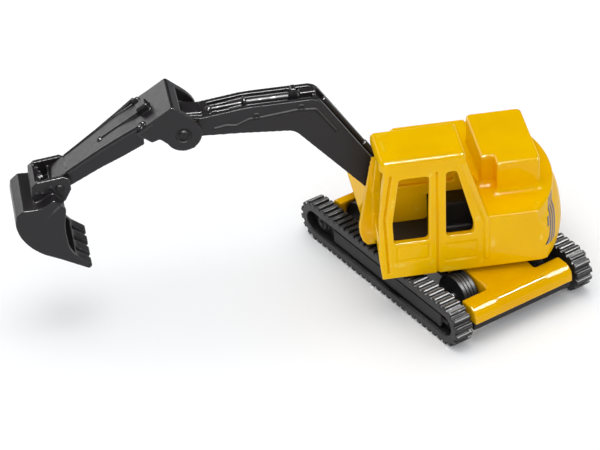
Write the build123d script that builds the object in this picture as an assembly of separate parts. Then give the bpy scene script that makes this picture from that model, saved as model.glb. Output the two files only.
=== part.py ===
"""Toy excavator, pocket die-cast size.  Millimetres, +Z up, +X along the boom, origin on the
ground under the slewing axis.  Each function below makes one separate piece of the toy."""

import os
from math import cos, degrees, pi, sin, tan

from build123d import *

# ---- driving dimensions --------------------------------------------------------------------
SLEW_ANGLE = -64.7          # how far the tracks are turned from the boom's direction
CLEAR = 0.05                # running clearance on every pin, in radius
STRAIGHT, SHALLOW = 6, 34   # degrees: a corner of an outline between these is part of a curve

# undercarriage, along its own X
TRACK_LENGTH = 50.6
TRACK_HEIGHT = 8.45
TRACK_LIFT = 0.1            # the tracks clear the ground, the wheels carry the toy
TRACK_WIDTH = 3.65
TRACK_OUTSIDE = 32.0        # over both tracks
RIM = 2.1                   # band and lug together, seen from the side
LUG = 0.62
LUG_COUNT = 66
WHEEL_RADIUS = 4.35
WHEEL_BASE = 30.0
WHEEL_IN, WHEEL_OUT = 6.2, 9.4
AXLE_RADIUS = 0.7
DECK_TOP = 8.4
DECK_HALF = 5.6
BAR_HALF = 11.4
RIVET_PLACES = ((-9.5, 0.0), (9.5, 0.0))   # x, y of the rivets that close the base
PEG_PLACES = (-21.8, 20.2)  # x of the pegs that carry the side frames
PEG_HEIGHT, PEG_RADIUS = 3.6, 0.4
SLEW_PIN = 2.0

# upper body
SHELL_BOTTOM = 9.25
SIDE = 16.2                 # half width of the upper body
SLOT = 3.3                  # half width of the boom slot
SLOT_REAR = 4.3
FLOOR_TOP = 10.4
CAB_FLOOR, CAB_SHELF = 14.0, 19.6
WAIST = 21.9                # top of the cab's wall beside the boom
WALL = 1.3
ROOF_TOP = 35.3
DECK_RIGHT = 21.3
LEDGE = 20.6
HOOD_TOP, HOOD_HALF = 27.2, 8.9
HOOD_FRONT, HOOD_REAR = -6.0, -16.8
COVE = 1.4                  # hollow where the hood rises from the deck
TAIL = -20.6                # rearmost point of the body at deck height
TAIL_CENTRE = 4.6           # x that the counterweight's round back is turned about
TAIL_SWELL = 1.5            # how far the counterweight stands out lower down
TAIL_STEP = 18.4            # height where it steps back in
BODY_CORNER = -13.6         # where the straight sides end

# arm
BOOM_FOOT = (7.2, 14.0)     # x, z of the pivots
ELBOW = (49.2, 39.6)
WRIST = (72.6, 30.4)
BOOM_HALF = 2.9
CHEEK_IN, CHEEK_OUT = 4.0, 5.2
BUCKET_HALF = 6.4
EAR_IN, EAR_OUT = 3.0, 3.9
BOOM_PIN, BUCKET_PIN = 1.0, 0.8
PIN_DEPTH = 0.8             # of the boom's pin in each wall of the slot


def side_prism(points, y0, y1):
    """A solid whose outline is given in x and z, from y0 to y1."""
    outline = Plane.XZ.offset(-y0) * make_face(Polyline(*points, close=True))
    return extrude(outline, y1 - y0, dir=(0, 1, 0))


def soft_prism(points, y0, y1, corner=0.6):
    """The same with its corners rounded, and shallow corners drawn as one flowing curve."""
    radii = []
    for before, here, after in zip(points[-1:] + points[:-1], points, points[1:] + points[:1]):
        come, go = Vector(*here) - Vector(*before), Vector(*after) - Vector(*here)
        turn = come.get_angle(go)
        widest = 0.45 * min(come.length, go.length) / tan(turn * pi / 360)
        radii.append(0 if turn < STRAIGHT else min(corner if turn > SHALLOW else 12, widest))
    outline = Plane.XZ.offset(-y0) * make_face(FilletPolyline(*points, radius=radii, close=True))
    return extrude(outline, y1 - y0, dir=(0, 1, 0))


def front_prism(points, x0, x1):
    """A solid whose outline is given in y and z, from x0 to x1."""
    outline = Plane.YZ.offset(x0) * make_face(Polyline(*points, close=True))
    return extrude(outline, x1 - x0, dir=(1, 0, 0))


def block(x0, x1, y0, y1, z0, z1):
    """A box from its two corners."""
    return Pos((x0 + x1) / 2, (y0 + y1) / 2, (z0 + z1) / 2) * Box(x1 - x0, y1 - y0, z1 - z0)


def cross_rod(x, z, radius, y0, y1):
    """A round rod or hole along Y."""
    return Pos(x, (y0 + y1) / 2, z) * Rot(90, 0, 0) * Cylinder(radius, y1 - y0)


def upright_rod(x, y, radius, z0, z1):
    """A round rod or hole along Z."""
    return Pos(x, y, (z0 + z1) / 2) * Cylinder(radius, z1 - z0)


def stadium(half_length, radius, z_mid, y0, y1):
    """A bar with round ends, seen from the side, from y0 to y1."""
    ends = half_length - radius
    body = block(-ends, ends, y0, y1, z_mid - radius, z_mid + radius)
    for end in (-ends, ends):
        body += cross_rod(end, z_mid, radius, y0, y1)
    return body


def common(part, other):
    """What two solids share, as one part."""
    return Part() + (part & other)


def mirrored(part):
    """The same piece on the right-hand side."""
    return mirror(part, Plane.XZ)


# ---- undercarriage -------------------------------------------------------------------------
WHEEL_X = WHEEL_BASE / 2
TRACK_MID = TRACK_LIFT + TRACK_HEIGHT / 2
TRACK_Y1 = TRACK_OUTSIDE / 2
TRACK_Y0 = TRACK_Y1 - TRACK_WIDTH
TIP_RADIUS = TRACK_HEIGHT / 2
END_X = TRACK_LENGTH / 2 - TIP_RADIUS      # centre of each round end of the track
BAND_RADIUS = TIP_RADIUS - LUG
INSIDE_RADIUS = TIP_RADIUS - RIM


def track_belt():
    """Rubber band with cross lugs all round."""
    band = stadium(END_X + BAND_RADIUS, BAND_RADIUS, TRACK_MID, TRACK_Y0, TRACK_Y1)
    band -= stadium(END_X + INSIDE_RADIUS, INSIDE_RADIUS, TRACK_MID, TRACK_Y0 - 1, TRACK_Y1 + 1)
    run = 2 * END_X
    turn = pi * BAND_RADIUS
    pitch = 2 * (run + turn) / LUG_COUNT
    lug = Box(0.62 * pitch, TRACK_WIDTH, 2 * LUG)
    lugs = []
    for i in range(LUG_COUNT):
        s = i * pitch
        if s < run:
            x, z, tilt = s - END_X, BAND_RADIUS, 0
        elif s < run + turn:
            a = (s - run) / BAND_RADIUS
            x, z, tilt = END_X + BAND_RADIUS * sin(a), BAND_RADIUS * cos(a), degrees(a)
        elif s < 2 * run + turn:
            x, z, tilt = END_X - (s - run - turn), -BAND_RADIUS, 180
        else:
            a = (s - 2 * run - turn) / BAND_RADIUS
            x, z, tilt = -END_X - BAND_RADIUS * sin(a), -BAND_RADIUS * cos(a), 180 + degrees(a)
        lugs.append(Pos(x, (TRACK_Y0 + TRACK_Y1) / 2, TRACK_MID + z) * Rot(0, tilt, 0) * lug)
    return band + lugs


def track_frame():
    """Side frame inside the band: flat web, long bar, ringed idler in front."""
    reach = END_X + INSIDE_RADIUS - 0.02
    web_y = TRACK_Y1 - 1.7
    frame = stadium(reach, INSIDE_RADIUS - 0.02, TRACK_MID, TRACK_Y0 + 0.05, web_y)
    bar = block(-19.6, 15.0, web_y, TRACK_Y1 - 0.5, TRACK_MID - 1.55, TRACK_MID + 1.3)
    frame += fillet(bar.edges().filter_by(Axis.Y), 0.4)
    frame += block(-21.2, -19.6, web_y, TRACK_Y1 - 0.9, TRACK_MID - 0.5, TRACK_MID + 0.5)
    for radius, proud in ((2.0, 0.35), (1.45, 0.75), (0.6, 1.1)):
        frame += cross_rod(END_X - 1.6, TRACK_MID, radius, web_y, web_y + proud)
    for x in PEG_PLACES:
        frame += cross_rod(x, PEG_HEIGHT, PEG_RADIUS, BAR_HALF - 0.8, TRACK_Y0 + 0.2)
    return frame


def base_plate():
    """Black underside with the axle bearings and the arms that carry the side frames."""
    plate = block(-21.4, 20.7, -DECK_HALF + 0.7, DECK_HALF - 0.7, 1.5, 3.0)
    plate += block(-24.4, -20.9, -BAR_HALF, BAR_HALF, 2.9, 4.4)
    plate += block(19.75, 20.7, -BAR_HALF, BAR_HALF, 2.9, 4.4)
    for x in (-WHEEL_X, WHEEL_X):
        for side in (-1, 1):
            y0, y1 = sorted((side * 2.7, side * 4.4))
            plate += block(x - 1.8, x + 1.8, y0, y1, 2.8, WHEEL_RADIUS + 1.6)
        plate -= cross_rod(x, WHEEL_RADIUS, AXLE_RADIUS + CLEAR, -6, 6)
    for x, y in RIVET_PLACES:
        plate += upright_rod(x, y, 1.6, 2.8, 5.0)
        plate -= upright_rod(x, y, 0.65, 0, 6) + upright_rod(x, y, 1.3, 0, 2.1)
    for x in PEG_PLACES:
        for side in (-1, 1):
            y0, y1 = sorted((side * (BAR_HALF - 0.5), side * (TRACK_Y0 + 0.03)))
            plate += block(x - 0.75, x + 0.75, y0, y1, 2.9, 4.35)
            y0, y1 = sorted((side * (BAR_HALF - 0.8), side * (TRACK_Y0 + 1)))
            plate -= cross_rod(x, PEG_HEIGHT, PEG_RADIUS, y0, y1)
    return plate


def chassis_cover():
    """Yellow cast cover: narrow deck, a wide bar across the back and a slim one in front."""
    deck = side_prism(
        [(-25.0, 4.5), (20.7, 4.5), (20.7, 7.6), (19.6, 8.0), (15.0, DECK_TOP),
         (-14.5, DECK_TOP), (-18.5, 8.15), (-21.0, 7.75), (-25.0, 7.5)], -DECK_HALF, DECK_HALF)
    back = block(-25.0, -20.6, -BAR_HALF, BAR_HALF, 4.5, 7.75)
    back = fillet(back.edges().filter_by(Axis.Y).group_by(Axis.X)[0].sort_by(Axis.Z)[-1], 2.4)
    front = block(18.3, 20.7, -BAR_HALF, BAR_HALF, 4.5, 8.0)
    front = fillet(front.edges().filter_by(Axis.Y).group_by(Axis.X)[-1].sort_by(Axis.Z)[-1], 0.9)
    deck = common(deck, block(-24.0, 20.0, -DECK_HALF, DECK_HALF, 4.5, 9.0))
    cover = deck + back + front
    hollow = block(-23.8, 19.4, -DECK_HALF + 1, DECK_HALF - 1, 4.0, 7.3)
    hollow += block(-23.8, -21.6, -BAR_HALF + 1, BAR_HALF - 1, 4.0, 6.7)
    for x in (-WHEEL_X, WHEEL_X):
        hollow += cross_rod(x, WHEEL_RADIUS, AXLE_RADIUS + 0.3, -DECK_HALF - 1, DECK_HALF + 1)
        for side in (-1, 1):
            y0, y1 = sorted((side * (DECK_HALF + 0.1), side * (WHEEL_OUT + 0.5)))
            hollow += cross_rod(x, WHEEL_RADIUS, WHEEL_RADIUS + 0.3, y0, y1)
    cover -= hollow
    cover -= upright_rod(0, 0, SLEW_PIN + CLEAR, 6, 10)
    for x, y in RIVET_PLACES:
        cover += upright_rod(x, y, 1.5, 5.05, 7.4)
        cover -= upright_rod(x, y, 0.6, 5, 7.0)
    return cover


def chassis_rivets():
    """Two tubular rivets that close the base plate on the cover."""
    rivets = Part()
    for x, y in RIVET_PLACES:
        rivets += upright_rod(x, y, 0.6, 1.7, 6.9) + upright_rod(x, y, 1.25, 1.6, 2.1)
    return rivets


def wheel(y0, y1, x):
    """Free wheel hidden beside the track, with fine grooves round its tread."""
    tyre = cross_rod(x, WHEEL_RADIUS, WHEEL_RADIUS, y0, y1)
    tyre = fillet(tyre.edges().filter_by(GeomType.CIRCLE), 0.25)
    for share in (0.3, 0.52, 0.74):
        y = y0 + share * (y1 - y0)
        groove = cross_rod(x, WHEEL_RADIUS, WHEEL_RADIUS + 1, y - 0.1, y + 0.1)
        tyre -= groove - cross_rod(x, WHEEL_RADIUS, WHEEL_RADIUS - 0.2, y0, y1)
    return tyre - cross_rod(x, WHEEL_RADIUS, AXLE_RADIUS, y0 - 1, y1 + 1)


def axle(x):
    """Steel axle with a burr at each end that holds the wheels."""
    rod = cross_rod(x, WHEEL_RADIUS, AXLE_RADIUS, -WHEEL_OUT - 0.3, WHEEL_OUT + 0.3)
    return chamfer(rod.edges().filter_by(GeomType.CIRCLE), 0.15)


# ---- upper body ----------------------------------------------------------------------------
RING_TOP = SHELL_BOTTOM - 0.05


def slew_ring():
    """Plastic ring that spaces the upper body from the chassis."""
    return upright_rod(0, 0, 5.0, DECK_TOP + 0.05, RING_TOP) - upright_rod(0, 0, SLEW_PIN, 8, 10)


def slew_rivet():
    """Steel rivet that the upper body turns on."""
    rivet = upright_rod(0, 0, SLEW_PIN, 5.6, 11.0) + upright_rod(0, 0, 3.3, 5.6, 6.4)
    return rivet + upright_rod(0, 0, 2.7, 10.4, 11.0)


def slew_washer():
    """Spring washer between the rivet's head and the chassis deck."""
    return upright_rod(0, 0, 3.6, 6.45, 6.95) - upright_rod(0, 0, SLEW_PIN + 0.02, 6, 8)


def floor_space(gap):
    """The room that the floor plate takes in the underside of the casting."""
    front, top = 14.0 + gap, FLOOR_TOP + gap
    slab = block(TAIL, front, -SIDE, SIDE, SHELL_BOTTOM - 1, top)
    return common(slab, upper_outline(WALL - gap))


def floor_plate():
    """Black insert that closes the casting below, with a raised cab floor and a shelf behind."""
    above = block(TAIL, 15, -SIDE, SIDE, SHELL_BOTTOM + 0.1, 12)
    y0, y1 = SLOT + WALL + 0.05, SIDE - WALL - 0.1
    plate = common(floor_space(0), above) + block(CAB_REAR + WALL + 0.1, 12.3, y0, y1, 10, CAB_FLOOR)
    plate += block(CAB_REAR + WALL + 0.1, 4.3, y0, y0 + 4, 10, CAB_SHELF)
    return plate - upright_rod(0, 0, SLEW_PIN, 5, 20) - upright_rod(0, 0, 2.75, 10.35, 12)


def upper_outline(inset=0.0, radius=TAIL_CENTRE - TAIL, corner=1.5):
    """The body seen from above: straight sides, one long arc behind, rounded corners."""
    corner_x = TAIL_CENTRE - (radius ** 2 - SIDE ** 2) ** 0.5
    plan = make_face(
        Polyline((corner_x, -SIDE), (19, -SIDE), (19, SIDE), (corner_x, SIDE))
        + ThreePointArc((corner_x, SIDE), (TAIL_CENTRE - radius, 0), (corner_x, -SIDE)))
    plan = fillet(plan.vertices().group_by(Axis.X)[0], corner)
    if inset:
        plan = offset(plan, -inset)
    return extrude(Plane.XY.offset(SHELL_BOTTOM - 2) * plan, 40, dir=(0, 0, 1))


def counterweight():
    """Heavy rear of the casting: its lower half swells out below a soft step."""
    r = TAIL_CENTRE - TAIL
    swell = r + TAIL_SWELL
    low, step = (swell - 0.35, SHELL_BOTTOM), (r + 0.1, TAIL_STEP)
    outer = Spline(low, (swell, 11.9), (swell - 0.3, 15.2), step, tangents=((0.25, 1), (-0.7, 1)))
    edges = outer + Polyline(step, (r - 0.1, LEDGE), (0, LEDGE), (0, SHELL_BOTTOM), low)
    back = Pos(TAIL_CENTRE, 0, 0) * revolve(Plane.XZ * make_face(edges), Axis.Z)
    back = common(back, block(TAIL - 5, HOOD_FRONT - 3, -SIDE, SIDE, 0, 30))
    back = common(back, upper_outline(0, swell + 0.1, 3.4))
    top = [e for e in back.edges().group_by(Axis.Z)[-1] if e.center().X < BODY_CORNER]
    return fillet(top, 0.5)


# cab outline from the side, at the door and at the slot, and the wall beside the boom, which
# stands out in front
CAB_REAR = -5.3
CAB_DOOR_SIDE = ((CAB_REAR, SHELL_BOTTOM), (15.0, SHELL_BOTTOM), (15.5, 13.5), (15.4, 22.6),
                 (14.2, 34.0), (-1.0, 34.0), (CAB_REAR, 20.2))
CAB_SLOT_SIDE = ((CAB_REAR, SHELL_BOTTOM), (13.7, SHELL_BOTTOM), (14.2, 13.5), (14.4, 22.6),
                 (13.7, 34.0), (-1.0, 34.0), (CAB_REAR, 20.2))
SLOT_WALL = ((CAB_REAR, SHELL_BOTTOM), (15.7, SHELL_BOTTOM), (16.6, 10.3), (17.05, 11.8), (17.15, 13.4),
             (16.85, 15.4), (15.6, 22.6), (14.0, 34.0), (-1.0, 34.0), (CAB_REAR, 20.2))
SEAM_X, SEAM_WIDTH, SEAM_DEPTH = 4.4, 0.4, 0.45
RIB = 0.35                  # the rib behind the rear window stands out this far


def lofted(near, far, y_near, y_far):
    """A solid between two outlines in x and z that have the same number of corners."""
    ends = [Plane.XZ.offset(-y) * make_face(Polyline(*points, close=True))
            for points, y in ((near, y_near), (far, y_far))]
    return loft(ends, ruled=True)


def inward(points, step):
    """The outline drawn in by a wall's thickness all round, the bottom left where it is."""
    x0 = min(x for x, z in points)
    low, high = SHELL_BOTTOM, max(z for x, z in points)
    drawn = []
    for x, z in points:
        new_x = x + step if x < x0 + 6 else x - step
        drawn.append((new_x, z - step if z == high else low - 1 if z == low else z))
    return drawn


def cab():
    """Cab with open windows, hollow inside."""
    outer = lofted(CAB_DOOR_SIDE, CAB_SLOT_SIDE, SIDE, SLOT) + side_prism(SLOT_WALL, SLOT, SLOT + WALL)
    roof = block(-1.2, 14.9, SLOT, SIDE, 33.0, ROOF_TOP)
    roof = fillet(roof.edges().filter_by(Axis.Z), 1.3)
    roof = fillet(roof.edges().group_by(Axis.Z)[-1], 0.9)
    body = outer + roof
    lean = front_prism([(SLOT - 2, 21.3), (SLOT, 21.3), (SLOT + 2.4, ROOF_TOP + 1), (SLOT - 2, 37)], -10, 20)
    body -= lean
    room = lofted(inward(CAB_DOOR_SIDE, WALL), inward(CAB_SLOT_SIDE, WALL), SIDE - WALL, SLOT + WALL)
    room -= front_prism([(SLOT, 20.0), (SLOT + WALL, 20.0), (SLOT + WALL + 2.4, 37), (SLOT, 37)], -10, 20)
    return body - room


def window(points, radius=0.7):
    """A window hole through the door side of the cab."""
    outline = Plane.XZ.offset(-(SIDE - 3)) * make_face(Polyline(*points, close=True))
    outline = fillet(outline.vertices(), radius)
    return extrude(outline, 5, dir=(0, 1, 0))


def cab_details(body):
    """Windows, the door's seam, the pressed panels and the rib behind the rear window."""
    body -= window([(12.7, 17.1), (12.8, 21.8), (11.5, 31.3), (5.8, 31.3), (6.1, 17.1)])
    body -= window([(2.8, 17.4), (2.7, 31.8), (0.7, 31.8), (-2.5, 19.5), (-2.4, 17.4)])
    body -= front_prism([(14.4, 16.2), (14.4, 32.0), (7.3, 32.0), (4.7, 21.0), (4.7, 16.2)], 11, 18.5)
    body -= front_prism([(SLOT + 0.7, WAIST), (SLOT + 4, WAIST), (SLOT + 5, 31), (SLOT + 2.3, 31)],
                        -1.0, 12.2)
    body -= side_prism([(12.75, 32.4), (14.1, 22.7), (13.5, 10.4), (13.95, 10.4), (14.6, 22.7),
                        (13.25, 32.4)], SIDE - SEAM_DEPTH, SIDE + 1)
    body -= block(SEAM_X - SEAM_WIDTH / 2, SEAM_X + SEAM_WIDTH / 2, SIDE - SEAM_DEPTH, SIDE + 1,
                  SHELL_BOTTOM, 32.2)
    for x0, x1, z0, z1 in ((5.9, 12.2, 12.9, 16.3), (-3.0, 3.0, 11.8, 15.8)):
        body -= block(x0, x1, SIDE - 0.25, SIDE + 1, z0, z1)
    for x0, x1, z0, z1 in ((6.3, 11.8, 13.3, 15.9), (-2.6, 2.6, 12.2, 15.4)):
        body += block(x0, x1, SIDE - 1, SIDE - 0.05, z0, z1)
    rib = side_prism([(-0.9, 33.4), (-5.2, 20.2), (-5.2, 11.5), (-4.4, 11.5), (-4.4, 20.1), (-0.1, 33.4)],
                     SIDE - 0.5, SIDE + RIB)
    return body + rib


def engine_body():
    """Engine hood, side decks and counterweight."""
    lower = block(HOOD_FRONT - 3.5, CAB_REAR + 1, -SIDE, SIDE, SHELL_BOTTOM, LEDGE) + counterweight()
    hood = block(HOOD_REAR, HOOD_FRONT, -HOOD_HALF, HOOD_HALF, LEDGE - 3, HOOD_TOP)
    hood = fillet(hood.edges().filter_by(Axis.Z), 1.0)
    hood -= block(-8.4, HOOD_FRONT + 1, HOOD_HALF - 3.0, HOOD_HALF + 1, 17.0, HOOD_TOP + 1)
    body = lower + fillet(hood.edges().group_by(Axis.Z)[-1], 0.6)
    foot = [e for e in body.edges().filter_by_position(Axis.Z, LEDGE - 0.01, LEDGE + 0.01)
            if abs(e.center().Y) < HOOD_HALF + 0.1 and HOOD_REAR - 0.1 < e.center().X < HOOD_FRONT + 0.1]
    return fillet(foot, COVE)


def right_block():
    """Low front corner on the boom's far side, sloping down to the front."""
    profile = [(CAB_REAR, SHELL_BOTTOM), (15.2, SHELL_BOTTOM), (16.0, 12.6), (6.8, DECK_RIGHT),
               (CAB_REAR - 2, DECK_RIGHT), (CAB_REAR - 2, LEDGE - 1), (CAB_REAR, LEDGE - 1)]
    right = side_prism(profile, -SIDE, -SLOT)
    return fillet(right.edges().group_by(Axis.Y)[0].filter_by(GeomType.LINE).sort_by(Axis.Z)[2:], 0.6)


def upper_shell():
    """The whole yellow casting of the upper body."""
    bridge = block(CAB_REAR, SLOT_REAR, -SLOT - 1, SLOT + WALL, SHELL_BOTTOM, DECK_RIGHT)
    body = engine_body() + right_block() + bridge + cab_details(cab())
    body -= hollow_under() + floor_space(0.05)
    return body - cross_rod(*BOOM_FOOT, BOOM_PIN, -SLOT - PIN_DEPTH, SLOT + PIN_DEPTH)


def hollow_under():
    """What is cast away under the hood, the decks and the right-hand corner."""
    low = SHELL_BOTTOM - 1
    rear = block(TAIL - 1, CAB_REAR + 0.2, -SIDE - 1, SIDE + 1, low, LEDGE - WALL)
    rear = common(rear, upper_outline(WALL))
    under_hood = block(HOOD_REAR + WALL, HOOD_FRONT - 3.6, -HOOD_HALF + WALL, HOOD_HALF - WALL,
                       low, HOOD_TOP - WALL)
    middle = block(CAB_REAR - 1, SLOT_REAR - WALL, -SIDE + WALL, SLOT + WALL + 1, low, LEDGE - WALL)
    right = side_prism([(0, low), (13.8, low), (14.4, 12.2), (6.6, LEDGE - WALL), (0, LEDGE - WALL)],
                       -SIDE + WALL, -SLOT - WALL)
    doorway = block(CAB_REAR - 1, CAB_REAR + WALL + 1, SLOT + WALL, SIDE - WALL, low, LEDGE - WALL - 1)
    return rear + under_hood + middle + right + doorway


def cross_pin(pivot, half):
    """A steel hinge pin along Y with chamfered ends."""
    rod = cross_rod(*pivot, BOOM_PIN, -half, half)
    return chamfer(rod.edges().filter_by(GeomType.CIRCLE), 0.2)


# ---- arm -----------------------------------------------------------------------------------
BOOM_SIDE = ((5.75, 15.45), (14.47, 28.38), (23.7, 42.45), (37.4, 42.35), (46.4, 41.2), (47.5, 41.3),
             (47.5, 37.6), (43.6, 37.3), (38.6, 37.0), (28.4, 36.1), (16.15, 22.27), (8.9, 12.9))


def boom():
    """Cranked boom: a bar with a channel on top, a round foot and a tongue at the elbow."""
    body = soft_prism(BOOM_SIDE, -BOOM_HALF, BOOM_HALF, 3.0)
    body += cross_rod(*BOOM_FOOT, 2.05, -BOOM_HALF, BOOM_HALF)
    tongue = cross_rod(*ELBOW, 2.3, -BOOM_HALF, BOOM_HALF)
    tongue += side_prism([(45.4, 41.3), (ELBOW[0], 41.9), (ELBOW[0], 37.3), (45.4, 37.42)],
                         -BOOM_HALF, BOOM_HALF)
    body += tongue
    for side in (-1, 1):
        y0, y1 = sorted((side * (BOOM_HALF - 0.1), side * (CHEEK_IN - 0.12)))
        body += cross_rod(*ELBOW, 1.9, y0, y1)
    low_run = side_prism([(12.0, 26.4), (22.9, 42.7), (24.4, 41.7), (13.4, 25.3)], -1.9, 1.9)
    high_run = side_prism([(24.6, 43.0), (44.0, 42.6), (44.0, 40.7), (37.2, 41.6), (24.6, 41.6)], -1.9, 1.9)
    body -= low_run + high_run
    body -= cross_rod(*BOOM_FOOT, BOOM_PIN + CLEAR, -10, 10)
    return body - cross_rod(*ELBOW, BOOM_PIN + CLEAR, -10, 10)


CHEEK = ((58.1, 41.2), (55.1, 38.8), (53.6, 39.3), (50.6, 36.6), (47.4, 36.5), (45.9, 38.6), (45.8, 40.5),
         (47.0, 42.4), (51.0, 45.9))


def stick():
    """Stick: forked bracket round the boom's tongue, then a bar that narrows to the bucket."""
    fork = soft_prism(CHEEK, -CHEEK_OUT, CHEEK_OUT, 0.5)
    fork += cross_rod(*ELBOW, 3.4, -CHEEK_OUT, CHEEK_OUT)
    fork -= side_prism([(44, 34), (54.6, 34), (54.6, 41.9), (50.6, 44.5), (44, 44.5)], -CHEEK_IN, CHEEK_IN)
    stations = ((56.5, 40.3, 3.6, 4.9), (60.5, 38.0, 4.2, 4.1), (64.6, 35.5, 3.9, 3.4),
                (71.0, 31.45, 3.4, 2.8))
    sections = [Plane.YZ.offset(x) * Pos(0, z) * Rectangle(2 * half, depth) for x, z, depth, half in stations]
    bar = loft(sections, ruled=True)
    tip = cross_rod(*WRIST, 1.6, -2.8, 2.8)
    tip += side_prism([(70.9, 33.1), (73.4, 31.8), (72.0, 28.9), (70.9, 29.75)], -2.8, 2.8)
    body = fork + bar + tip
    body -= cross_rod(*ELBOW, BOOM_PIN, -CHEEK_OUT - 1, CHEEK_OUT + 1)
    return body - cross_rod(*WRIST, BUCKET_PIN + CLEAR, -10, 10)


BUCKET_SIDE = ((74.0, 29.6), (71.9, 27.2), (72.5, 23.2), (72.0, 18.6), (71.0, 16.6), (67.9, 14.2),
               (68.6, 13.4), (71.3, 14.9), (74.0, 16.4), (77.1, 17.9), (79.4, 20.0), (80.9, 22.4),
               (81.5, 24.9), (81.2, 26.8), (79.8, 28.0), (76.8, 27.9))
TOOTH_PITCH = 3.5


def bucket():
    """Open bucket with four teeth, its mouth towards the machine, and two hinge ears."""
    body = soft_prism(BUCKET_SIDE, -BUCKET_HALF, BUCKET_HALF, 0.4)
    inside = ((66.0, 30.4), (66.0, 16.4), (70.4, 16.9), (71.8, 16.4), (76.5, 18.8), (78.5, 20.8),
              (79.9, 23.0), (80.5, 25.0), (80.2, 25.9), (79.4, 26.6), (76.4, 26.8), (73.8, 26.8),
              (72.6, 27.0))
    body -= soft_prism(inside, -BUCKET_HALF + 0.9, BUCKET_HALF - 0.9)
    for i in (-1, 0, 1):
        y = i * TOOTH_PITCH
        body -= side_prism([(66.8, 15.2), (68.8, 12.0), (71.2, 14.0), (70.6, 17.4)], y - 0.6, y + 0.6)
    body -= cross_rod(*WRIST, 2.1, -EAR_OUT, EAR_OUT)
    body += side_prism([(76.9, 27.4), (77.9, 29.0), (77.8, 31.2), (77.0, 31.9), (76.6, 31.7), (76.5, 27.4)],
                       -EAR_OUT, EAR_OUT)
    for side in (-1, 1):
        y0, y1 = sorted((side * EAR_IN, side * EAR_OUT))
        body += side_prism([(77.2, 27.4), (77.9, 29.0), (77.8, 31.2), (76.7, 32.2), (71.8, 32.8),
                            (70.6, 32.1), (70.5, 29.9), (71.7, 27.6), (73.6, 27.0)], y0, y1)
    return body - cross_rod(*WRIST, BUCKET_PIN, -10, 10)


def bucket_pin():
    """Steel pin through the bucket's ears and the end of the stick."""
    rod = cross_rod(*WRIST, BUCKET_PIN, -EAR_OUT - 0.2, EAR_OUT + 0.2)
    return chamfer(rod.edges().filter_by(GeomType.CIRCLE), 0.15)


# ---- everything in its place ---------------------------------------------------------------
def turned(part):
    """An undercarriage piece, turned under the upper body."""
    return Rot(0, 0, SLEW_ANGLE) * part


def main():
    os.makedirs("parts", exist_ok=True)
    pieces = {
        "chassis_cover": turned(chassis_cover()),
        "base_plate": turned(base_plate()),
        "chassis_rivets": turned(chassis_rivets()),
        "track_belt_left": turned(track_belt()),
        "track_belt_right": turned(mirrored(track_belt())),
        "track_frame_left": turned(track_frame()),
        "track_frame_right": turned(mirrored(track_frame())),
        "slew_ring": slew_ring(),
        "slew_washer": slew_washer(),
        "slew_rivet": slew_rivet(),
        "floor_plate": floor_plate(),
        "upper_shell": upper_shell(),
        "boom_foot_pin": cross_pin(BOOM_FOOT, SLOT + PIN_DEPTH - 0.02),
        "boom": boom(),
        "elbow_pin": cross_pin(ELBOW, CHEEK_OUT + 0.15),
        "stick": stick(),
        "bucket": bucket(),
        "bucket_pin": bucket_pin(),
    }
    for end, x in (("front", WHEEL_X), ("rear", -WHEEL_X)):
        pieces[end + "_axle"] = turned(axle(x))
        pieces[end + "_wheel_left"] = turned(wheel(WHEEL_IN, WHEEL_OUT, x))
        pieces[end + "_wheel_right"] = turned(wheel(-WHEEL_OUT, -WHEEL_IN, x))
    for name, piece in pieces.items():
        export_step(piece, f"parts/{name}.step")


main()
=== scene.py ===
import math

import bpy
from mathutils import Matrix, Vector


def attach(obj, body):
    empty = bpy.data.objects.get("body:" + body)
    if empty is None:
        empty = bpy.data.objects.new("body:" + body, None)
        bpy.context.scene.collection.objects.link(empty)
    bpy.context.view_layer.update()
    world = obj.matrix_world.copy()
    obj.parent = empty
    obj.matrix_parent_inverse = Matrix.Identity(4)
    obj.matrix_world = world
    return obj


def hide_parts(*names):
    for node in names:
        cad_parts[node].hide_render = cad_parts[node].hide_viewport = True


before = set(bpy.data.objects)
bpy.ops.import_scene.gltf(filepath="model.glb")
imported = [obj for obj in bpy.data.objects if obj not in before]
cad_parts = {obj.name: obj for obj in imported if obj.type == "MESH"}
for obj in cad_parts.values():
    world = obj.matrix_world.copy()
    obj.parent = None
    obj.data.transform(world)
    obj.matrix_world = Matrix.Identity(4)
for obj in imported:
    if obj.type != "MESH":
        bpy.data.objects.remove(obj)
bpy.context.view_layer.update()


# ---- the yellow upper casting ----------------------------------------------------------------
# One zinc casting holds the cab, the engine hood and the counterweight. It is tumbled before it is
# painted, so every edge is round, and the thick enamel rounds it further; its corners carry painted
# shade.
MM = 0.001


class Shade:
    """A number of a finish, so that a finish is written as a sum."""

    def __init__(self, finish, socket):
        self.finish, self.socket = finish, socket

    def math(self, operation, a, b):
        return self.finish.math(operation, a, b)

    def __add__(self, other):
        return self.math("ADD", self, other)

    def __sub__(self, other):
        return self.math("SUBTRACT", self, other)

    def __rsub__(self, other):
        return self.math("SUBTRACT", other, self)

    def __mul__(self, other):
        return self.math("MULTIPLY", self, other)

    def __gt__(self, other):
        return self.math("GREATER_THAN", self, other)

    def __lt__(self, other):
        return self.math("LESS_THAN", self, other)

    def __mod__(self, other):
        return self.math("FLOORED_MODULO", self, other)

    def __abs__(self):
        return self.math("ABSOLUTE", self, 0)

    def __pow__(self, other):
        return self.math("POWER", self, other)

    __radd__, __rmul__ = __add__, __mul__


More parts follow.
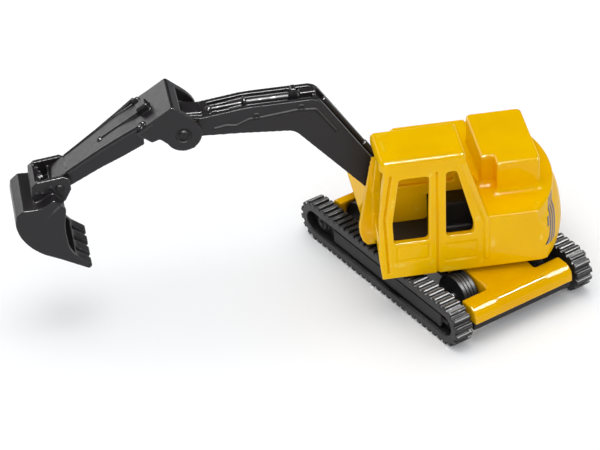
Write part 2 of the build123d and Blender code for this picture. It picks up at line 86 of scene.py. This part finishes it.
class Finish:
    """A paint or a moulded surface, mixed from nodes."""

    def __init__(self, name, colour, roughness, **fixed):
        self.material = bpy.data.materials.new(name)
        self.material.use_nodes = True
        self.tree = self.material.node_tree
        self.tree.nodes.clear()
        self.surface = self.add("ShaderNodeBsdfPrincipled", {},
                                {"Base Color": (*colour, 1), "Roughness": roughness})
        for socket, value in fixed.items():
            self.surface.inputs[socket.replace("_", " ")].default_value = value
        self.add("ShaderNodeOutputMaterial", {}, {"Surface": self.surface.outputs[0]})
        place = self.add("ShaderNodeTexCoord")
        self.place = place.outputs["Object"]
        apart = self.add("ShaderNodeSeparateXYZ", {}, {0: self.place})
        self.x, self.y, self.z = (Shade(self, apart.outputs[i]) for i in range(3))

    def add(self, kind, settings=(), sockets=()):
        """A new node, with its settings and what goes into its sockets."""
        node = self.tree.nodes.new(kind)
        for name, value in dict(settings).items():
            setattr(node, name, value)
        for name, value in dict(sockets).items():
            value = value.socket if isinstance(value, Shade) else value
            if isinstance(value, bpy.types.NodeSocket):
                self.tree.links.new(value, node.inputs[name])
            else:
                node.inputs[name].default_value = value
        return node

    def math(self, operation, a, b):
        node = self.add("ShaderNodeMath", {"operation": operation}, {0: a, 1: b})
        return Shade(self, node.outputs[0])

    def specks(self, size, detail=3.0):
        """Soft noise from 0 to 1, with patches about as wide as size."""
        noise = self.add("ShaderNodeTexNoise", {},
                         {"Vector": self.place, "Scale": 1 / size, "Detail": detail})
        return Shade(self, noise.outputs["Fac"])

    def ramp(self, value, low, high):
        """0 below low, 1 above high, smooth between."""
        node = self.add("ShaderNodeMapRange", {"interpolation_type": "SMOOTHSTEP"},
                        {"Value": value, "From Min": low, "From Max": high})
        return Shade(self, node.outputs[0])

    def edges(self, low, high):
        """1 on edges as sharp as high, 0 at low. Above 0.5 they are outer edges, below it hollows."""
        shape = self.add("ShaderNodeNewGeometry")
        return self.ramp(Shade(self, shape.outputs["Pointiness"]), low, high)

    def blend(self, share, below, above):
        """One colour turning into another."""
        below = (*below, 1) if isinstance(below, tuple) else below
        above = (*above, 1) if isinstance(above, tuple) else above
        node = self.add("ShaderNodeMix", {"data_type": "RGBA"}, {0: share, 6: below, 7: above})
        return node.outputs[2]

    def wear(self, **sockets):
        """Links what varies over the surface to the shader."""
        for name, value in sockets.items():
            value = value.socket if isinstance(value, Shade) else value
            self.tree.links.new(value, self.surface.inputs[name.replace("_", " ")])

    def relief(self, height, depth):
        """Raises the surface by height times depth."""
        bump = self.add("ShaderNodeBump", {}, {"Height": height, "Distance": depth, "Strength": 1.0})
        self.wear(Normal=bump.outputs[0])

    def coat(self, piece):
        """Gives a piece this finish and no other."""
        piece.data.materials.clear()
        piece.data.materials.append(self.material)


def deselect():
    """Nothing is selected and no mesh is open for editing."""
    if bpy.context.object and bpy.context.object.mode == "EDIT":
        bpy.ops.object.mode_set(mode="OBJECT")
    bpy.ops.object.select_all(action="DESELECT")


def take(piece):
    """Makes a piece the only one in hand."""
    deselect()
    piece.select_set(True)
    bpy.context.view_layer.objects.active = piece


def modify(piece, kind, **settings):
    """Adds a modifier and applies it."""
    take(piece)
    modifier = piece.modifiers.new(kind.title(), kind)
    for name, value in settings.items():
        setattr(modifier, name, value)
    bpy.ops.object.modifier_apply(modifier=modifier.name)


MOST_TRIANGLES = 196000
WELD = 0.001 * MM


def casting(node, name, grain, rounds, body, additions=()):
    """A designed solid and what is cast on it as one skin, its edges tumbled round.

    Grain is the smallest detail kept, in millimetres, and rounds is how long it is tumbled."""
    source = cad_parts[node]
    piece = source.copy()
    piece.data = source.data.copy()
    piece.name = name
    for key in list(piece.keys()):
        del piece[key]
    piece.parent = None
    bpy.context.scene.collection.objects.link(piece)
    take(piece)
    bpy.ops.object.mode_set(mode="EDIT")
    bpy.ops.mesh.select_all(action="SELECT")
    bpy.ops.mesh.remove_doubles(threshold=WELD)
    bpy.ops.object.mode_set(mode="OBJECT")
    for addition in additions:
        addition.select_set(True)
    if additions:
        bpy.ops.object.join()
    modify(piece, "REMESH", mode="VOXEL", voxel_size=grain * MM)
    modify(piece, "SMOOTH", factor=0.5, iterations=rounds)
    triangles = 2 * len(piece.data.polygons)
    if triangles > MOST_TRIANGLES:
        modify(piece, "DECIMATE", ratio=MOST_TRIANGLES / triangles)
    bpy.ops.object.shade_smooth()
    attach(piece, body)
    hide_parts(node)
    return piece


# painted shade makes the enamel deeper orange on the chassis under the body and in hollows; the
# sharpest edges are pale, partly thin enamel and partly a painted highlight
YELLOW, WARM_YELLOW, PALE_YELLOW = (0.86, 0.49, 0.0), (0.82, 0.45, 0.0), (0.92, 0.64, 0.03)
CHASSIS_SHADE_ORANGE, HOLLOW_SHADE_ORANGE = (0.7, 0.3, 0.0), (0.62, 0.27, 0.0)
enamel = Finish("yellow_enamel", YELLOW, 0.35,
                Specular_IOR_Level=0.0, Coat_Roughness=0.08, Coat_IOR=1.5)
drift = enamel.specks(9 * MM)
yellow = enamel.blend(enamel.ramp(drift, 0.35, 0.7), YELLOW, WARM_YELLOW)
hollow = enamel.edges(0.49, 0.44)
crest = enamel.edges(0.506, 0.53)
on_chassis = enamel.ramp(enamel.z, 9.3 * MM, 8.6 * MM)
chassis_shaded = enamel.blend(on_chassis * 0.35, yellow, CHASSIS_SHADE_ORANGE)
hollow_shaded = enamel.blend(hollow * 0.8, chassis_shaded, HOLLOW_SHADE_ORANGE)
thinned_and_highlit = enamel.blend(enamel.edges(0.52, 0.6) * 0.4, hollow_shaded, PALE_YELLOW)

# slanting grey and black strokes are printed round each rear corner
TAIL_RADIUS = 21.0 * MM
LOWEST, HIGHEST = 12.4 * MM, 20.2 * MM
HOOK_BELOW, HOOK_ABOVE = 16.0 * MM, 17.6 * MM
FIRST, LAST, PITCH = 15.4 * MM, 19.55 * MM, 1.1 * MM
GREY_INK, BLACK_INK = (0.27, 0.23, 0.235), (0.02, 0.015, 0.015)
around = TAIL_RADIUS * enamel.math("ARCTAN2", 0 - enamel.x, abs(enamel.y))
slant = around - 0.5 * (enamel.z - LOWEST)
tall = (slant > FIRST + PITCH) * (enamel.z > LOWEST) * (enamel.z < HIGHEST)
hook = (slant > FIRST) * (slant < FIRST + PITCH) * (enamel.z > HOOK_BELOW) * (enamel.z < HOOK_ABOVE)
printed = (tall + hook) * (slant < LAST)
stroke = (slant - FIRST) % PITCH
grey = enamel.blend(printed * (stroke < 0.85 * MM), thinned_and_highlit, GREY_INK)
inked = enamel.blend(printed * (stroke < 0.28 * MM), grey, BLACK_INK)

# the hollow round the hood's foot stays dull, and the outer edges shine
BEHIND_CAB = -5.4 * MM
above_deck = enamel.ramp(enamel.z, 20.7 * MM, 21.0 * MM)
below_hood = enamel.ramp(enamel.z, 22.6 * MM, 22.0 * MM)
foot = above_deck * below_hood * (enamel.x < BEHIND_CAB)
enamel.wear(Base_Color=inked, Roughness=0.3 + 0.14 * enamel.specks(1.5 * MM),
            Coat_Weight=(0.26 + 0.1 * drift) * (1 - foot) * (1 - hollow) + 0.65 * crest)
enamel.relief(enamel.specks(1.1 * MM, 2.0), 0.01 * MM)

upper = casting("upper_shell", "upper_casting", 0.17, 7, "superstructure")
enamel.coat(upper)


# ---- the black floor insert ------------------------------------------------------------------
# A moulded black insert closes the casting from below. It shows through the windows and in the
# slot of the boom, and it is duller than the arm.
inside_black = Finish("inside_black", (0.012, 0.011, 0.011), 0.5, Specular_IOR_Level=0.3)
inside_black.wear(Roughness=0.42 + 0.2 * inside_black.specks(0.8 * MM))
inside_black.relief(inside_black.specks(0.3 * MM), 0.01 * MM)
insert = casting("floor_plate", "floor_insert", 0.3, 3, "superstructure")
inside_black.coat(insert)


# ---- the chassis -----------------------------------------------------------------------------
# A second yellow casting with a wide bar across the back, riveted to a black moulded base. The
# toy rolls on four grooved drums. The side frames and their lugged rubber bands stand clear.
chassis = casting("chassis_cover", "chassis_casting", 0.2, 5, "undercarriage")
enamel.coat(chassis)

satin_black = Finish("satin_black", (0.010, 0.009, 0.010), 0.4, Specular_IOR_Level=0.25)
satin_black.wear(Roughness=0.3 + 0.2 * satin_black.specks(0.9 * MM))
satin_black.relief(satin_black.specks(0.25 * MM), 0.008 * MM)
base = casting("base_plate", "moulded_base", 0.2, 3, "undercarriage")
satin_black.coat(base)

for side in ("left", "right"):
    side_frame = casting(f"track_frame_{side}", f"side_frame_{side}", 0.14, 3,
                         "undercarriage")
    satin_black.coat(side_frame)
    for end in ("front", "rear"):
        satin_black.coat(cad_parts[f"{end}_wheel_{side}"])

# fine ribs run across the tread all the way round, three to a lug
SLEW_TURN = math.radians(64.7)
BAND_END, BAND_RADIUS, BAND_MID = 21.075 * MM, 3.605 * MM, 4.325 * MM
TREAD_IN, TREAD_OUT = 12.5 * MM, 15.85 * MM
LUG_COUNT = 66
RIBS_PER_LUG = 3
band_length = 4 * BAND_END + 2 * math.pi * BAND_RADIUS
track_black = Finish("track_rubber", (0.012, 0.011, 0.0115), 0.4,
                     Specular_IOR_Level=0.38, Coat_Roughness=0.14)
along = math.cos(SLEW_TURN) * track_black.x - math.sin(SLEW_TURN) * track_black.y
past_end = abs(along) - BAND_END
in_turn = past_end > 0
angle = track_black.math("ARCTAN2", past_end, abs(track_black.z - BAND_MID))
across = math.sin(SLEW_TURN) * track_black.x + math.cos(SLEW_TURN) * track_black.y
on_tread = (abs(across) > TREAD_IN) * (abs(across) < TREAD_OUT)
travel = in_turn * (angle * BAND_RADIUS + BAND_END) + (1 - in_turn) * abs(along)
rib_turn = 2 * math.pi * RIBS_PER_LUG * LUG_COUNT / band_length
ribs = track_black.math("SINE", travel * rib_turn, 0)
track_black.wear(Roughness=0.26 + 0.22 * track_black.specks(1.2 * MM),
                 Coat_Weight=0.6 * on_tread * track_black.edges(0.51, 0.56))
track_black.relief(0.8 * ribs * on_tread + 0.5 * track_black.specks(0.4 * MM), 0.07 * MM)
for side in ("left", "right"):
    belt = casting(f"track_belt_{side}", f"track_band_{side}", 0.13, 2, "undercarriage")
    track_black.coat(belt)


# ---- the boom --------------------------------------------------------------------------------
# A cranked bar moulded in black plastic, with a hydraulic ram lying in the channel along its top
# and the pipes with their clips raised on both sides.


BAR_ROUND, ROD_ROUND = 0.15, 0.35


def bar(start, end, width, height, y=0.0):
    """A bar from one point of the side view to another, y from the middle. All is in millimetres."""
    run, rise = end[0] - start[0], end[1] - start[1]
    deselect()
    bpy.ops.mesh.primitive_cube_add(
        size=MM, location=((start[0] + end[0]) / 2 * MM, y * MM, (start[1] + end[1]) / 2 * MM),
        rotation=(0, -math.atan2(rise, run), 0), scale=(math.hypot(run, rise), width, height))
    bpy.ops.object.transform_apply(location=True, rotation=True, scale=True)
    piece = bpy.context.object
    modify(piece, "BEVEL", width=BAR_ROUND * min(width, height) * MM, segments=2)
    return piece


def rod(start, end, radius, y=0.0, y_end=None):
    """A round rod with domed ends between two points of the side view."""
    y_end = y if y_end is None else y_end
    ends = [Vector((start[0], y, start[1])) * MM, Vector((end[0], y_end, end[1])) * MM]
    axis = ends[1] - ends[0]
    deselect()
    bpy.ops.mesh.primitive_cylinder_add(
        vertices=20, radius=radius * MM, depth=axis.length, location=(ends[0] + ends[1]) / 2,
        rotation=axis.to_track_quat("Z", "Y").to_euler())
    bpy.ops.object.transform_apply(location=True, rotation=True, scale=True)
    piece = bpy.context.object
    modify(piece, "BEVEL", width=ROD_ROUND * radius * MM, segments=2, limit_method="ANGLE")
    return piece


def pushed(piece, height):
    """Draws the top of a piece in to a ridge, height millimetres up."""
    take(piece)
    top = max(vertex.co.z for vertex in piece.data.vertices)
    for vertex in piece.data.vertices:
        vertex.select = vertex.co.z > top - 0.4 * MM
    bpy.ops.object.mode_set(mode="EDIT")
    bpy.ops.transform.resize(value=(0.45, 0.8, 1))
    bpy.ops.transform.translate(value=(0, 0, height * MM))
    bpy.ops.object.mode_set(mode="OBJECT")
    return piece


# the ram's cylinder and its rod, with a collar and an eye
ram = [rod((26.0, 41.9), (37.4, 41.75), 0.75), rod((37.4, 41.75), (43.6, 41.2), 0.4)]
ram += [rod((37.0, 41.9), (37.5, 41.9), 1.15), rod((43.4, 41.2), (44.2, 41.15), 0.8)]

# the blocks it lies on, the pointed one over its foot, and the two jaws of its eye
ram.append(bar((45.3, 41.55), (48.9, 41.75), 3.7, 0.8))
ram.append(pushed(bar((27.0, 42.2), (29.1, 42.2), 2.2, 1.6), 0.9))
ram.append(bar((23.9, 42.35), (27.0, 42.3), 1.7, 1.1))
ram += [bar((40.0, 41.3), (42.6, 41.0), 0.5, 0.9, side * 1.2) for side in (-1, 1)]

# the rod and the eye of the lifting ram, on the sloping half
ram += [rod((22.6, 40.6), (15.0, 29.2), 0.55), rod((15.4, 29.8), (13.2, 26.4), 0.8)]

# a pipe on each side, with its two clips
PIPE = ((43.4, 38.7), (41.1, 39.1), (39.2, 38.8), (36.7, 39.9),
        (34.5, 39.9), (27.9, 40.6), (24.3, 40.3), (20.6, 34.9))
PIPE_RADIUS, CLIP_RADIUS = 0.26, 0.2
for pipe_y in (-2.94, 2.94):
    ram += [rod(start, end, PIPE_RADIUS, pipe_y) for start, end in zip(PIPE, PIPE[1:])]
    for x, z in ((35.4, 40.4), (27.0, 41.1)):
        clip = ((x - 0.4, z - 0.5), (x - 0.4, z + 0.4), (x + 0.4, z + 0.4), (x + 0.4, z - 0.6))
        ram += [rod(start, end, CLIP_RADIUS, pipe_y) for start, end in zip(clip, clip[1:])]

ARM = (0.011, 0.009, 0.0105)
# the black that paints shade on the pipes and in the gap round the elbow pin
PAINTED_SHADE_BLACK = (0.001, 0.001, 0.001)


def arm_plastic(name):
    """The black plastic of the arm."""
    return Finish(name, ARM, 0.36, Specular_IOR_Level=0.32, Coat_Roughness=0.14)


def mould(plastic, shade_share=0, dull=0, shine=0.9, dent=0):
    """Fine grain and shining edges, and a share of the surface painted black as shade, dull and dented.
    """
    plastic.wear(Base_Color=plastic.blend(shade_share, ARM, PAINTED_SHADE_BLACK),
                 Roughness=0.25 + 0.2 * plastic.specks(0.9 * MM) + dull * shade_share,
                 Coat_Weight=shine * plastic.edges(0.51, 0.56))
    plastic.relief(plastic.specks(0.3 * MM) - dent * shade_share, 0.008 * MM)


# the pipes on the sides are painted dark as their shade and made dull, and only the edges round the
# channel shine
boom_black = arm_plastic("boom_black")
pipe_shade = boom_black.ramp(abs(boom_black.y), 2.92 * MM, 2.98 * MM)
on_top = boom_black.ramp(abs(boom_black.y), 2.84 * MM, 2.74 * MM)
mould(boom_black, pipe_shade, dull=0.35, shine=on_top)
boom = casting("boom", "boom_moulding", 0.12, 3, "boom", ram)
boom_black.coat(boom)


# ---- the stick -------------------------------------------------------------------------------
# It forks round the end of the boom. A loop stands on the fork, and the bucket's ram runs from it
# down the middle of the bar between two low rails.
TAB_HOLE, TAB_DEPTH = 0.42 * MM, 1.6 * MM
loop = [bar((54.8, 44.0), (56.8, 42.65), 2.2, 2.0)]
take(loop[0])
facing = Vector((0.83, 0, -0.55))
for face in loop[0].data.polygons:
    face.select = face.normal.dot(facing) > 0.99
bpy.ops.object.mode_set(mode="EDIT")
bpy.ops.mesh.select_mode(type="FACE")
bpy.ops.mesh.inset(thickness=TAB_HOLE)
bpy.ops.transform.translate(value=-TAB_DEPTH * facing)
bpy.ops.object.mode_set(mode="OBJECT")

# a low rail along each edge of the bar
TOP_LINE = ((57.0, 42.45), (60.5, 40.1), (64.6, 37.3), (71.0, 32.9))
HALF_WIDTHS = (4.7, 3.95, 3.25, 2.65)
RAIL_RADIUS = 0.36
rail = list(zip(TOP_LINE, HALF_WIDTHS))
for (start, y_start), (end, y_end) in zip(rail, rail[1:]):
    loop += [rod(start, end, RAIL_RADIUS, side * y_start, side * y_end) for side in (-1, 1)]

# the ram between the rails, and the knobs and beads on the fork's shoulders
loop += [rod((56.4, 42.4), (64.2, 37.45), 0.42), rod((63.8, 37.7), (72.0, 32.1), 0.28)]
loop.append(rod((63.9, 37.7), (64.5, 37.3), 0.62))
loop += [rod((56.2, 42.8), (57.4, 42.0), 0.5, side * 4.1) for side in (-1, 1)]
loop += [rod((54.9, 42.9), (57.4, 41.3), 0.22, side * 5.15) for side in (-1, 1)]

# the bore at the elbow is wider than the pin's head; the gap round the pin is painted as a black ring
# of shade, dull and dented
ELBOW_X, ELBOW_Z = 49.2 * MM, 39.6 * MM
fork_black = arm_plastic("fork_black")
from_pin = ((fork_black.x - ELBOW_X) ** 2 + (fork_black.z - ELBOW_Z) ** 2) ** 0.5
ring = fork_black.ramp(from_pin, 1.55 * MM, 1.35 * MM) * (abs(fork_black.y) > 5.0 * MM)
mould(fork_black, ring, dull=0.5, dent=30)
stick = casting("stick", "stick_moulding", 0.12, 3, "stick", loop)
fork_black.coat(stick)


# ---- the bucket ------------------------------------------------------------------------------
# Moulded with its teeth and its two hinge ears. A short link joins the ears behind the stick, and
# the heads of its pins stand out on the ears.
link = [bar((76.3, 31.2), (77.4, 28.2), 5.8, 1.0), rod((75.2, 30.9), (77.2, 30.4), 0.7)]
PIN_RADIUS, PIN_LENGTH = 0.28 * MM, 8.2 * MM
for x, z in ((76.9, 29.9), (75.8, 29.9), (74.2, 30.9)):
    deselect()
    bpy.ops.mesh.primitive_cylinder_add(vertices=16, radius=PIN_RADIUS, depth=PIN_LENGTH,
                                        location=(x * MM, 0, z * MM), rotation=(math.pi / 2, 0, 0))
    bpy.ops.object.transform_apply(location=True, rotation=True, scale=True)
    link.append(bpy.context.object)
arm_black = arm_plastic("arm_black")
mould(arm_black)
bucket = casting("bucket", "bucket_moulding", 0.12, 3, "bucket", link)
arm_black.coat(bucket)


# ---- the pins, axles and rivets ---------------------------------------------------------------
# The pins of the arm are black plastic with round heads. What holds the chassis together is plain
# bright steel, and the ring the body turns on is black.
steel = Finish("plain_steel", (0.5, 0.5, 0.52), 0.35, Metallic=1.0)
steel.wear(Roughness=0.28 + 0.2 * steel.specks(0.3 * MM))
for node in ("elbow_pin", "bucket_pin"):
    satin_black.coat(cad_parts[node])
for node in ("front_axle", "rear_axle", "slew_washer", "slew_rivet", "boom_foot_pin", "chassis_rivets"):
    steel.coat(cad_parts[node])
satin_black.coat(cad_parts["slew_ring"])


# ---- the table, the light and the camera ------------------------------------------------------
# A white sheet of paper under a large soft lamp, as for a catalogue. White cards that only the
# gloss sees draw the bright lines along the edges.
deselect()
bpy.ops.mesh.primitive_plane_add(size=6.0, location=(0, 0, 0))
table = bpy.context.object
table.name = "table"
paper = Finish("white_paper", (0.96, 0.96, 0.96), 0.6,
               Specular_IOR_Level=0.1, Emission_Color=(1, 1, 1, 1), Emission_Strength=0.06)
paper.wear(Roughness=0.55 + 0.1 * paper.specks(20 * MM))
paper.coat(table)

world = bpy.data.worlds.new("studio")
bpy.context.scene.world = world
world.use_nodes = True
world.node_tree.nodes["Background"].inputs["Color"].default_value = (0.95, 0.97, 1.0, 1)
world.node_tree.nodes["Background"].inputs["Strength"].default_value = 0.74
world.cycles_visibility.glossy = False

TOY = Vector((0.02, 0, 0.02))


def lamp(name, place, size, power, only_gloss=False):
    """A square soft lamp turned to the toy, or a white card that shows only as a reflection."""
    data = bpy.data.lights.new(name, "AREA")
    data.shape, data.size, data.energy = "SQUARE", size, power
    thing = bpy.data.objects.new(name, data)
    thing.location = place
    thing.rotation_euler = (TOY - Vector(place)).to_track_quat("-Z", "Y").to_euler()
    thing.visible_diffuse = not only_gloss
    bpy.context.scene.collection.objects.link(thing)


lamp("overhead", (0.05, -0.1, 0.7), 0.6, 1.8)
lamp("front_fill", (0.15, 0.6, 0.3), 0.5, 0.7)
lamp("top_card", (0.05, 0.18, 0.55), 0.3, 15.0, True)
lamp("corner_card", (-0.4, 0.08, 0.5), 0.25, 10.0, True)
lamp("back_card", (0.3, -0.5, 0.2), 0.3, 0.9, True)

CAMERA_PLACE = Vector((96.65, 489.71, 364.05)) * MM
turn, tilt, roll = (math.radians(a) for a in (-98.0, 35.4, -2.6))
ahead = Vector((math.cos(turn) * math.cos(tilt), math.sin(turn) * math.cos(tilt), -math.sin(tilt)))
sideways = Vector((math.sin(turn), -math.cos(turn), 0))
above = sideways.cross(ahead)
right = math.cos(roll) * sideways + math.sin(roll) * above
up = math.cos(roll) * above - math.sin(roll) * sideways
lens = bpy.data.cameras.new("camera")
lens.lens, lens.sensor_width, lens.clip_start = 192, 36, 0.01
camera = bpy.data.objects.new("camera", lens)
looking = Matrix((right, up, -ahead)).transposed().to_4x4()
camera.matrix_world = Matrix.Translation(CAMERA_PLACE) @ looking
bpy.context.scene.collection.objects.link(camera)
bpy.context.scene.camera = camera
bpy.context.scene.view_settings.view_transform = "Standard"
